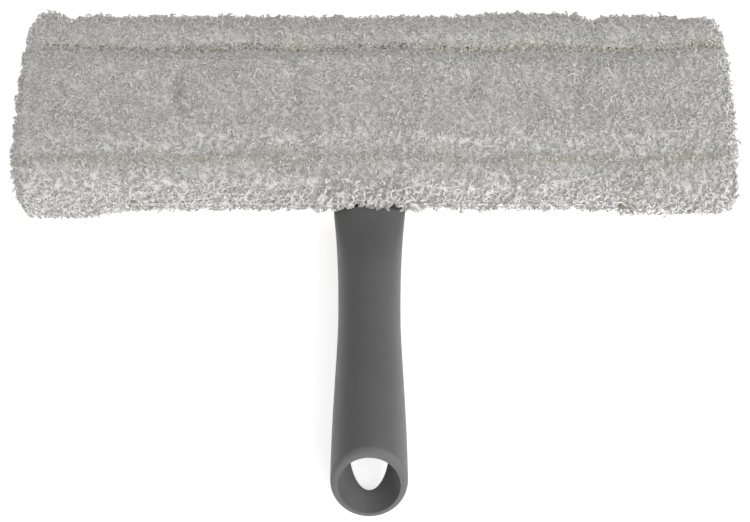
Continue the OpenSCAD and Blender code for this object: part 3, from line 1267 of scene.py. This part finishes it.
    def combed(
        self, places: np.ndarray, groove: np.ndarray, lengths: np.ndarray
    ) -> tuple[np.ndarray, np.ndarray]:
        """Which way the strands lean, and the lengths of those that hang over an edge.

        Args:
            places: the strands' roots.
            groove: how near each is to a seam.
            lengths: each strand's share of its full length.

        Returns:
            The leans and the new lengths.
        """
        lean = 0.5 * np.column_stack([lattice_noise(places, 7.0, 31 + axis) for axis in range(3)])
        inward = np.sign(np.sign(places[:, 1]) * (SEAM_Y - np.abs(places[:, 1])))
        lean[:, 1] += 0.35 * groove * inward
        if self.section is Section.LIP and self.side > 0:
            ahead = -places[:, 1]
            over = (1.0 - smooth_step(np.abs(places[:, 0]), 16.0, 27.0)) * smooth_step(ahead, 38.0, 42.0)
            hang = smooth_step(ahead, 40.0, 44.0) * (1.0 - over)
            lean[:, 1] -= 1.3 * over
            lean[:, 2] -= 0.35 * hang
            lengths = lengths * (1.0 + 1.3 * over) * (1.0 + 0.2 * hang)
        return lean, lengths

    def bare_faces(
        self, pile: np.ndarray, points: np.ndarray, loops: np.ndarray, sizes: np.ndarray
    ) -> np.ndarray:
        """Which of the backing's faces carry no pile: the sewn side, and the ends that meet a neighbour.

        Args:
            pile: the outline's pile marks.
            points: the backing's corners.
            loops: its faces' corner numbers in a row.
            sizes: how many corners each face has.

        Returns:
            One mark for each face.
        """
        starts = np.concatenate(([0], np.cumsum(sizes)[:-1]))
        rings = len(points) // len(pile)
        cap = sizes > 4
        bare = ~np.minimum.reduceat(np.tile(pile, rings)[loops], starts) & ~cap
        middle = np.add.reduceat(points[loops, 0], starts) / sizes
        for closed, x in zip(self.ends, (self.x0, self.x1)):
            if closed == 0.0:
                bare |= cap & (np.abs(middle - x) < 1.0)
        return bare

    def build(
        self, pile_stock: Pile, yarn: bpy.types.Material, cloth: bpy.types.Material
    ) -> bpy.types.Object:
        """Makes the piece, puts it on the body it rides on and hides its CAD node.

        Args:
            pile_stock: the strands to plant.
            yarn: the pile's material.
            cloth: the backing's material.

        Returns:
            The finished piece.
        """
        rng = np.random.default_rng(self.seed)
        bm, grid, pile = self.backing()
        if self.section is not Section.PLUG:
            grid = self.swell_up(bm, grid, pile).reshape(grid.shape)
            for v, place in zip(bm.verts, grid.reshape(-1, 3)):
                v.co = place
        places, normals = self.sown(grid, pile, rng)
        ends = [self.end_sown(grid[0], -1, rng)]
        if self.section is not Section.PLUG:
            ends.append(self.end_sown(grid[-1], 1, rng))
        if self.ends[1] == 0.0:
            ends = ends[:1]
        if self.ends[0] == 0.0:
            ends = ends[1:]
        ends.append(self.seam_sown(rng))
        places = np.concatenate([places] + [e[0] for e in ends])
        normals = np.concatenate([normals] + [e[1] for e in ends])
        wander = np.column_stack((0 * places[:, 0], seam_wander(places[:, 0]), 0 * places[:, 0]))
        groove = self.groove_share(places - wander)
        clumps = 1.0 + 0.18 * lattice_noise(places, 9.0, 21) + 0.25 * lattice_noise(places, 5.0, 23)
        lengths = self.pile_length * rng.uniform(0.75, 1.2, len(places)) * clumps
        lean, lengths = self.combed(places, groove, lengths * (1.0 - 0.12 * groove))
        tint = groove * np.clip(0.35 + 0.9 * lattice_noise(places, 18.0, 41), 0.0, 1.0)
        store = MeshStore()
        points, loops, sizes = store_from(bm)
        bm.normal_update()
        facing = np.array([v.normal for v in bm.verts], float)
        bm.free()
        flat = np.zeros(len(points))
        near = self.groove_share(points) * np.tile(pile, len(points) // len(pile))
        # The backing's pile side takes the yarn colour near the roots, which is painted light that lifts the
        # shade under the strands.
        store.add(
            points, loops, sizes, self.bare_faces(pile, points, loops, sizes).astype(int),
            strand_height=flat + self.underpile, strand_tone=flat + 0.9, groove=near * 0.7,
            cloth_normal=facing,
        )
        # Strands in the creases of the wide faces get painted shade.
        crease_shade = self.crease_shade_share(places)
        pile_stock.plant(store, places, normals, lengths, lean, tint, crease_shade, self.limit, rng)
        made = store.make(self.name, [yarn, cloth])
        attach(made, Body.SLEEVE.value)
        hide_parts(self.node)
        log.info("%s: %d strands, %d faces", self.name, len(places), len(made.data.polygons))
        return made


@dataclass
class Sleeve:
    """The sewn sleeve's nine pieces of plush."""

    half_length: float = 173.0
    pocket_x: float = 119.0
    base_in: float = 3.2
    shift: float = 2.6

    def plush(self) -> list[PlushPiece]:
        """The plush pieces with their sizes.

        Returns:
            The nine pieces, not yet built.
        """
        left = self.shift - self.half_length + self.base_in
        right = self.shift + self.half_length - self.base_in
        near, far = self.shift - self.pocket_x, self.shift + self.pocket_x
        return [
            PlushPiece("front_plush", "front_panel", Section.CROWN, left - 1.4, right + 1.6, 1,
                       0.0, 9.1, 31.2, 9.0, seed=101),
            PlushPiece("back_plush", "back_panel", Section.CROWN, left, right + 1.6, -1,
                       0.0, -9.1, 31.2, 8.6, pitch=1.85, seed=102),
            PlushPiece("top_strip_plush", "top_strip", Section.BOLSTER, left, right, 1,
                       31.9, 0.0, 20.6, 17.2, pitch=1.7, skew=0.2, seed=103,
                       notches=((111.0, 3.2, 7.0), (-149.0, 2.8, 4.5), (-25.0, 2.5, 1.8), (40.0, 2.5, 1.8),
                                (80.0, 24.0, -2.4), (-158.0, 7.0, -2.2))),
            PlushPiece("front_lip_plush", "front_lip", Section.LIP, near + 0.05, far - 0.05, 1,
                       -31.9, 3.6, 14.8, 13.6, ends=(0.0, 0.0), skew=1.2, seed=104),
            PlushPiece("back_lip_plush", "back_lip", Section.LIP, near + 0.05, far - 0.05, -1,
                       -31.9, -9.7, 9.6, 7.6, pitch=1.8, ends=(0.0, 0.0), seed=105),
            PlushPiece("left_gusset_plush", "left_gusset", Section.BOLSTER, left, near - 0.05, -1,
                       -31.9, 0.0, 17.6, 17.2, ends=(5.0, 0.0), skew=1.2, seed=106,
                       notches=((near, 17.0, 3.0),)),
            PlushPiece("right_front_gusset_plush", "right_front_gusset", Section.LIP, far + 0.05, right, 1,
                       -31.9, 3.6, 19.4, 13.6, ends=(0.0, 5.0), skew=1.2, seed=107,
                       notches=((far, 5.0, 4.4),)),
            PlushPiece("right_back_gusset_plush", "right_back_gusset", Section.LIP, far + 0.05, right, -1,
                       -31.9, -9.7, 12.6, 7.6, pitch=1.8, ends=(0.0, 5.0), seed=108),
            PlushPiece("left_end_plush", "left_end_panel", Section.PLUG, left + 0.8, -161.9, 1,
                       0.0, 0.0, 30.6, 8.0, seed=109),
        ]

    def build(self, yarn: bpy.types.Material, cloth: bpy.types.Material) -> list[bpy.types.Object]:
        """Makes every plush piece.

        Args:
            yarn: the pile's material.
            cloth: the backing's material.

        Returns:
            The pieces.
        """
        stock = Pile()
        return [piece.build(stock, yarn, cloth) for piece in self.plush()]


@dataclass
class Piping:
    """A two-ply cord sewn into the groove of one long seam."""

    name: str
    node: str
    side: int
    face: int
    radius: float = 1.0
    twist: float = 4.2
    half_length: float = 171.0
    height: float = 14.6
    sides: int = 10
    rings: int = 330

    def build(self, material: bpy.types.Material) -> bpy.types.Object:
        """Makes the cord, puts it on the body it rides on and hides its CAD node.

        Args:
            material: its material.

        Returns:
            The finished piece.
        """
        angles = np.linspace(0.0, math.tau, self.sides, endpoint=False)
        outline = np.column_stack((np.cos(angles), np.sin(angles))) * self.radius
        stations = np.linspace(2.0 - self.half_length, 2.0 + self.half_length, self.rings)
        bm = swept(outline, stations)
        bm.verts.ensure_lookup_table()
        for index, v in enumerate(bm.verts):
            phase = angles[index % self.sides] * 2.0 + math.tau * v.co.x / self.twist
            wide = 1.0 + 0.24 * math.cos(phase)
            v.co.y = self.side * SEAM_Y + v.co.y * wide + float(seam_wander(v.co.x))
            v.co.z = self.face * self.height + v.co.z * wide
        bmesh.ops.recalc_face_normals(bm, faces=bm.faces[:])
        made = object_from(bm, self.name, material)
        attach(made, Body.SLEEVE.value)
        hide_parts(self.node)
        return made


# ---------------------------------------------------------------- handle


@dataclass
class Handle:
    """The hollow moulded grip with its slanted open mouth and hanging hole."""

    shoulder: float = 51.0
    waist: float = 107.5
    mouth: float = 184.0
    waist_r: float = 14.55
    neck_swell: float = 2.6
    mouth_swell: float = 2.8
    shoulder_flat: float = 0.46
    slant: float = math.radians(32.0)
    rim: float = 2.0
    bore_r: float = 11.2
    bore_stop: float = 81.5
    cone_start: float = 135.5
    mouth_r: float = 14.0
    hang_tip: float = 182.5
    shear_start: float = 125.5
    hang_l: float = 36.0
    hang_w: float = 18.0
    screw_places: tuple = (64.0, 73.0)
    screw_r: float = 3.15
    screw_floor: float = 9.0
    edge_round: float = 0.45
    sides: int = 128

    def radius(self, s: float) -> float:
        """The grip's half width.

        Args:
            s: the distance from the bar's centre line.

        Returns:
            The half width there.
        """
        if s < self.waist:
            return self.waist_r + self.neck_swell * ((self.waist - s) / (self.waist - self.shoulder)) ** 2.5
        t = min(1.0, (s - self.waist) / 80.0)
        return self.waist_r + self.mouth_swell * math.sin(math.pi / 2 * t) ** 1.3

    def ring(self, s: float, inset: float) -> list[Vector]:
        """One ring of the skin.

        Args:
            s: its distance from the bar's centre line, at the axis.
            inset: how far it is taken in, where an end is rounded.

        Returns:
            Its corners in order.
        """
        r = self.radius(s) - inset
        t = min(1.0, max(0.0, (s - self.shear_start) / (self.mouth - self.rim - self.shear_start)))
        shear = math.tan(self.slant) * (1.0 - math.cos(math.pi * t)) / 2.0
        points = []
        for step in range(self.sides):
            a = math.tau * step / self.sides
            at = s - r * math.sin(a) * shear
            flat = min(1.0, max(0.0, (at - self.shoulder) / 35.0))
            depth = r * (1.0 - self.shoulder_flat * (1.0 + math.cos(math.pi * flat)) / 2.0)
            points.append(Vector((r * math.cos(a), -at, depth * math.sin(a) - AXIS_DROP)))
        return points

    def bore_radius(self, s: float) -> float:
        """The bore's radius at s: straight, then opening towards the mouth."""
        flare = (self.mouth_r - self.bore_r) / (self.mouth - self.cone_start)
        return self.bore_r + flare * max(0.0, s - self.cone_start)

    def bore_ring(self, depth: float) -> list[Vector]:
        """One ring of the bore.

        Args:
            depth: from 0 at the slanted mouth to 1 at the bore's end.

        Returns:
            Its corners in order.
        """
        points = []
        for step in range(self.sides):
            a = math.tau * step / self.sides
            edge = self.mouth
            for _ in range(4):
                edge = self.mouth - self.bore_radius(edge) * math.sin(a) * math.tan(self.slant)
            s = edge + (self.bore_stop - edge) * depth
            r = self.bore_radius(s)
            points.append(Vector((r * math.cos(a), -s, r * math.sin(a) - AXIS_DROP)))
        return points

    def skin(self) -> bmesh.types.BMesh:
        """The closed wall: the skin, the rounded rim and the blind bore.

        Returns:
            The wall, with no holes cut in it yet.
        """
        top = self.mouth - self.rim
        rings = [self.ring(self.shoulder + s, inset) for s, inset in ((0.0, 0.5), (0.1, 0.22), (0.35, 0.05))]
        rings += [self.ring(s, 0.0) for s in np.linspace(self.shoulder + 1.6, top - 0.6, 72)]
        for a in np.linspace(0.0, math.pi / 2, 9):
            rings.append(self.ring(top + self.rim * math.sin(a), self.rim * (1.0 - math.cos(a))))
        depths = np.concatenate(([0.0, 0.006, 0.014], np.linspace(0.03, 1.0, 24)))
        rings += [self.bore_ring(depth) for depth in depths]
        bm = bmesh.new()
        verts = bmesh.ops.create_circle(bm, cap_ends=True, segments=self.sides, radius=1.0)["verts"]
        edges = list(bm.faces[:][0].edges)
        for v, place in zip(verts, rings[0]):
            v.co = place
        order = {v: k for k, v in enumerate(verts)}
        for ring in rings[1:]:
            grown = bmesh.ops.extrude_edge_only(bm, edges=edges)["geom"]
            fresh = [e for e in grown if isinstance(e, bmesh.types.BMVert)]
            known = set(fresh)
            edges = [e for e in grown if isinstance(e, bmesh.types.BMEdge) and known.issuperset(e.verts)]
            follow = {}
            for v in fresh:
                below = next(e.other_vert(v) for e in v.link_edges if e.other_vert(v) in order)
                follow[v] = order[below]
            for v, k in follow.items():
                v.co = ring[k]
            order = follow
        bmesh.ops.holes_fill(bm, edges=edges, sides=0)
        bmesh.ops.recalc_face_normals(bm, faces=bm.faces[:])
        return bm

    def cutter(self, name: str, centre: tuple, radii: tuple, height: float, sides: int) -> bpy.types.Object:
        """An upright elliptical plug that cuts a hole.

        Args:
            name: the plug's name.
            centre: its middle.
            radii: its half widths along X and Y.
            height: its whole height.
            sides: how many sides it has.

        Returns:
            The plug, still in millimetres about the bar's centre line.
        """
        bm = bmesh.new()
        bmesh.ops.create_cone(
            bm, cap_ends=True, segments=sides, radius1=1.0, radius2=1.0, depth=height,
            matrix=Matrix.Translation(centre) @ Matrix.Diagonal((*radii, 1.0, 1.0)),
        )
        return placed(name, mesh_from(bm, name))

    def is_rim(self, edge: bmesh.types.BMEdge) -> bool:
        """Whether an edge is a sharp one round the hanging hole or a screw recess.

        Args:
            edge: one of the cut wall's edges.

        Returns:
            True if it has to be rounded.
        """
        x, y, z = edge.verts[0].co
        if not edge.is_manifold or edge.calc_face_angle(0.0) <= math.radians(42.0):
            return False
        by_hole = -self.hang_tip - 2.0 < y < -self.hang_tip + self.hang_l + 2.0
        hanging = by_hole and abs(x) < self.hang_w / 2 + 0.1 and z < -AXIS_DROP - 4.0
        low, high = -self.screw_places[1] - 4.0, -self.screw_places[0] + 4.0
        return hanging or (low < y < high and z < -AXIS_DROP - self.screw_floor - 0.5)

    def build(self, material: bpy.types.Material) -> bpy.types.Object:
        """Makes the grip, cuts its holes and rounds their edges.

        Args:
            material: its material.

        Returns:
            The finished piece.
        """
        raw = placed("grip_raw", mesh_from(self.skin(), "grip_raw"))
        hole = (0.0, self.hang_l / 2.0 - self.hang_tip, -AXIS_DROP - 14.0)
        cutters = [self.cutter("hang_cut", hole, (self.hang_w / 2, self.hang_l / 2), 22.0, 160)]
        for s in self.screw_places:
            recess = (0.0, -s, -AXIS_DROP - self.screw_floor - 10.0)
            cutters.append(self.cutter(f"screw_cut_{s:.0f}", recess, (self.screw_r, self.screw_r), 20.0, 48))
        for cut in cutters:
            step = raw.modifiers.new(cut.name, "BOOLEAN")
            step.operation = "DIFFERENCE"
            step.solver = "EXACT"
            step.object = cut
        shaped = raw.evaluated_get(bpy.context.evaluated_depsgraph_get())
        bm = bmesh.new()
        bm.from_mesh(shaped.data)
        for extra in (raw, *cutters):
            bpy.data.objects.remove(extra)
        bmesh.ops.remove_doubles(bm, verts=bm.verts[:], dist=1e-4)
        bm.normal_update()
        bmesh.ops.bevel(
            bm, geom=[e for e in bm.edges if self.is_rim(e)], offset=self.edge_round, offset_type="OFFSET",
            segments=3, profile=0.5, affect="EDGES", material=-1, clamp_overlap=True,
        )
        made = object_from(bm, "grip", material)
        made.data.set_sharp_from_angle(angle=math.radians(38.0))
        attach(made, Body.FRAME.value)
        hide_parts("handle_grip")
        return made


# ---------------------------------------------------------------- tapes


@dataclass
class Tape:
    """A flat strip of woven tape with a raised stitch line along each edge."""

    name: str
    node: str
    slot: Slot
    x0: float
    x1: float
    y0: float
    y1: float
    z: float
    face: int
    thick: float = 0.6
    ripple: float = 0.18
    stitch_in: float = 1.6
    stitch_rise: float = 0.16

    def build(self, material: bpy.types.Material) -> bpy.types.Object:
        """Makes the strip and sets what it rides on and stands for.

        Args:
            material: its material.

        Returns:
            The finished piece.
        """
        bm = bmesh.new()
        long, wide = self.x1 - self.x0, self.y1 - self.y0
        middle = ((self.x0 + self.x1) / 2, (self.y0 + self.y1) / 2, self.z)
        bmesh.ops.create_grid(
            bm, x_segments=max(8, int(long / 1.6)), y_segments=10, size=0.5,
            matrix=Matrix.Translation(middle) @ Matrix.Diagonal((long, wide, 1.0, 1.0)),
        )
        for v in bm.verts:
            edge = min(v.co.y - self.y0, self.y1 - v.co.y)
            stitched = self.stitch_rise * math.exp(-((edge - self.stitch_in) ** 2) / 0.3)
            rippled = self.ripple * math.sin(v.co.x * 0.34) * math.cos(v.co.y * 0.4)
            v.co.z += self.face * (rippled + stitched)
        bmesh.ops.solidify(bm, geom=bm.faces[:] + bm.edges[:] + bm.verts[:], thickness=self.thick)
        bmesh.ops.recalc_face_normals(bm, faces=bm.faces[:])
        made = object_from(bm, self.name, material)
        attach(made, Body.SLEEVE.value)
        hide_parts(self.node)
        return made


# ---------------------------------------------------------------- studio


@dataclass
class Studio:
    """A pale floor, soft lights and the camera."""

    aim: tuple = (0.0026, -0.00645, 0.0215)
    elevation: float = math.radians(66.0)
    distance: float = 0.7
    lens: float = 71.3
    air: float = 0.4

    def floor(self) -> None:
        """A wide pale floor, just below the object."""
        bm = bmesh.new()
        bmesh.ops.create_grid(bm, x_segments=2, y_segments=2, size=4.0)
        made = placed("studio_floor", mesh_from(bm, "studio_floor"))
        p = Painter("pale_floor")
        p.set(Roughness=0.9, Specular_IOR_Level=0.1, Base_Color=(0.93, 0.93, 0.93, 1.0))
        p.set(Emission_Color=(1.0, 1.0, 1.0, 1.0), Emission_Strength=0.6)
        made.data.materials.append(p.material)
        made.location.z = -0.0004

    def light(self, name: str, place: tuple, size: float, power: float) -> None:
        """A square soft light aimed at the object.

        Args:
            name: its name.
            place: where it stands.
            size: its side.
            power: its power, in watts.
        """
        lamp = bpy.data.lights.new(name, "AREA")
        lamp.size = size
        lamp.energy = power
        made = bpy.data.objects.new(name, lamp)
        made.location = place
        made.rotation_mode = "QUATERNION"
        made.rotation_quaternion = (Vector(self.aim) - Vector(place)).to_track_quat("-Z", "Y")
        bpy.context.scene.collection.objects.link(made)

    def camera(self) -> None:
        """The camera, level and without shift."""
        lens = bpy.data.cameras.new("camera")
        lens.lens = self.lens
        lens.sensor_width = 36.0
        lens.clip_start, lens.clip_end = 0.01, 20.0
        made = bpy.data.objects.new("camera", lens)
        ahead = Vector((0.0, math.cos(self.elevation), -math.sin(self.elevation)))
        made.location = Vector(self.aim) - ahead * self.distance
        made.rotation_mode = "QUATERNION"
        made.rotation_quaternion = ahead.to_track_quat("-Z", "Y")
        bpy.context.scene.collection.objects.link(made)
        bpy.context.scene.camera = made

    def build(self) -> None:
        """Sets the stage."""
        self.floor()
        self.light("key_light", (0.9, -1.05, 0.6), 1.5, 18.0)
        self.light("fill_light", (0.2, -0.6, 1.3), 1.4, 2.5)
        world = bpy.data.worlds.new("studio_air")
        world.use_nodes = True
        air = world.node_tree.nodes["Background"].inputs
        air["Color"].default_value = (1.0, 1.0, 1.0, 1.0)
        air["Strength"].default_value = self.air
        bpy.context.scene.world = world
        bpy.context.scene.view_settings.view_transform = "Standard"
        self.camera()


# ---------------------------------------------------------------- whole object


def dress(node: str, material: bpy.types.Material) -> None:
    """Gives a CAD node its material.

    Args:
        node: the node's name.
        material: the material.
    """
    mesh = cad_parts[node].data
    mesh.materials.clear()
    mesh.materials.append(material)


def main() -> None:
    """Builds the pieces in order and reports each one."""
    logging.basicConfig(level=logging.INFO, format="%(name)s: %(message)s")
    Studio().build()
    yarn = YarnFinish().build()
    backing = ClothFinish("backing_cloth", rgb(0.50, 0.47, 0.41), rgb(0.36, 0.33, 0.27)).build()
    piping = ClothFinish("piping_cotton", rgb(0.86, 0.81, 0.68), rgb(0.70, 0.64, 0.50), 900.0).build()
    tape = ClothFinish("binding_tape", rgb(0.56, 0.52, 0.44), rgb(0.38, 0.35, 0.28), 1300.0).build()
    hooks = ClothFinish(
        "hook_tape_nylon", rgb(0.42, 0.42, 0.40), rgb(0.22, 0.22, 0.21), 700.0, 0.0006
    ).build()
    grip = PlasticFinish("grip_plastic", rgb(0.128, 0.128, 0.129), rgb(0.148, 0.148, 0.149)).build()
    bar = PlasticFinish(
        "bar_plastic", rgb(0.10, 0.10, 0.102), rgb(0.13, 0.13, 0.132), (0.36, 0.52)
    ).build()
    steel = SteelFinish().build()

    for made in Sleeve().build(yarn, backing):
        log.info("%s is in place", made.name)
    for name, node, side, face in (
        ("far_front_piping", "far_front_seam", 1, 1),
        ("far_back_piping", "far_back_seam", 1, -1),
        ("near_front_piping", "near_front_seam", -1, 1),
        ("near_back_piping", "near_back_seam", -1, -1),
    ):
        log.info("%s is in place", Piping(name, node, side, face).build(piping).name)
    log.info("%s is in place", Handle().build(grip).name)
    front, back = SLIT_TOP + 0.7, SLIT_LOW - 0.7
    for strip in (
        Tape("front_slit_tape", "front_slit_binding", Slot.BINDING, -119.0, 136.0, -45.0, -32.2, front, -1),
        Tape("back_slit_tape", "back_slit_binding", Slot.BINDING, -119.0, 136.0, -41.4, -31.3, back, 1),
        Tape("hook_strip", "hook_tape", Slot.HOOK, 138.0, 169.0, -46.0, -32.7, front, -1),
        Tape("loop_strip", "loop_tape", Slot.LOOP, 138.0, 169.0, -43.0, -32.7, back, 1),
        Tape("front_mouth_tape", "front_mouth_binding", Slot.BINDING, 162.0, 174.0, -29.0, 29.0, 9.0, 1),
        Tape("back_mouth_tape", "back_mouth_binding", Slot.BINDING, 162.0, 174.0, -29.0, 29.0, -9.0, -1),
    ):
        finish = hooks if strip.slot is Slot.HOOK else tape
        log.info("%s is in place", strip.build(finish).name)
    dress("crossbar", bar)
    dress("neck_screws", steel)


if __name__ == "__main__":
    main()
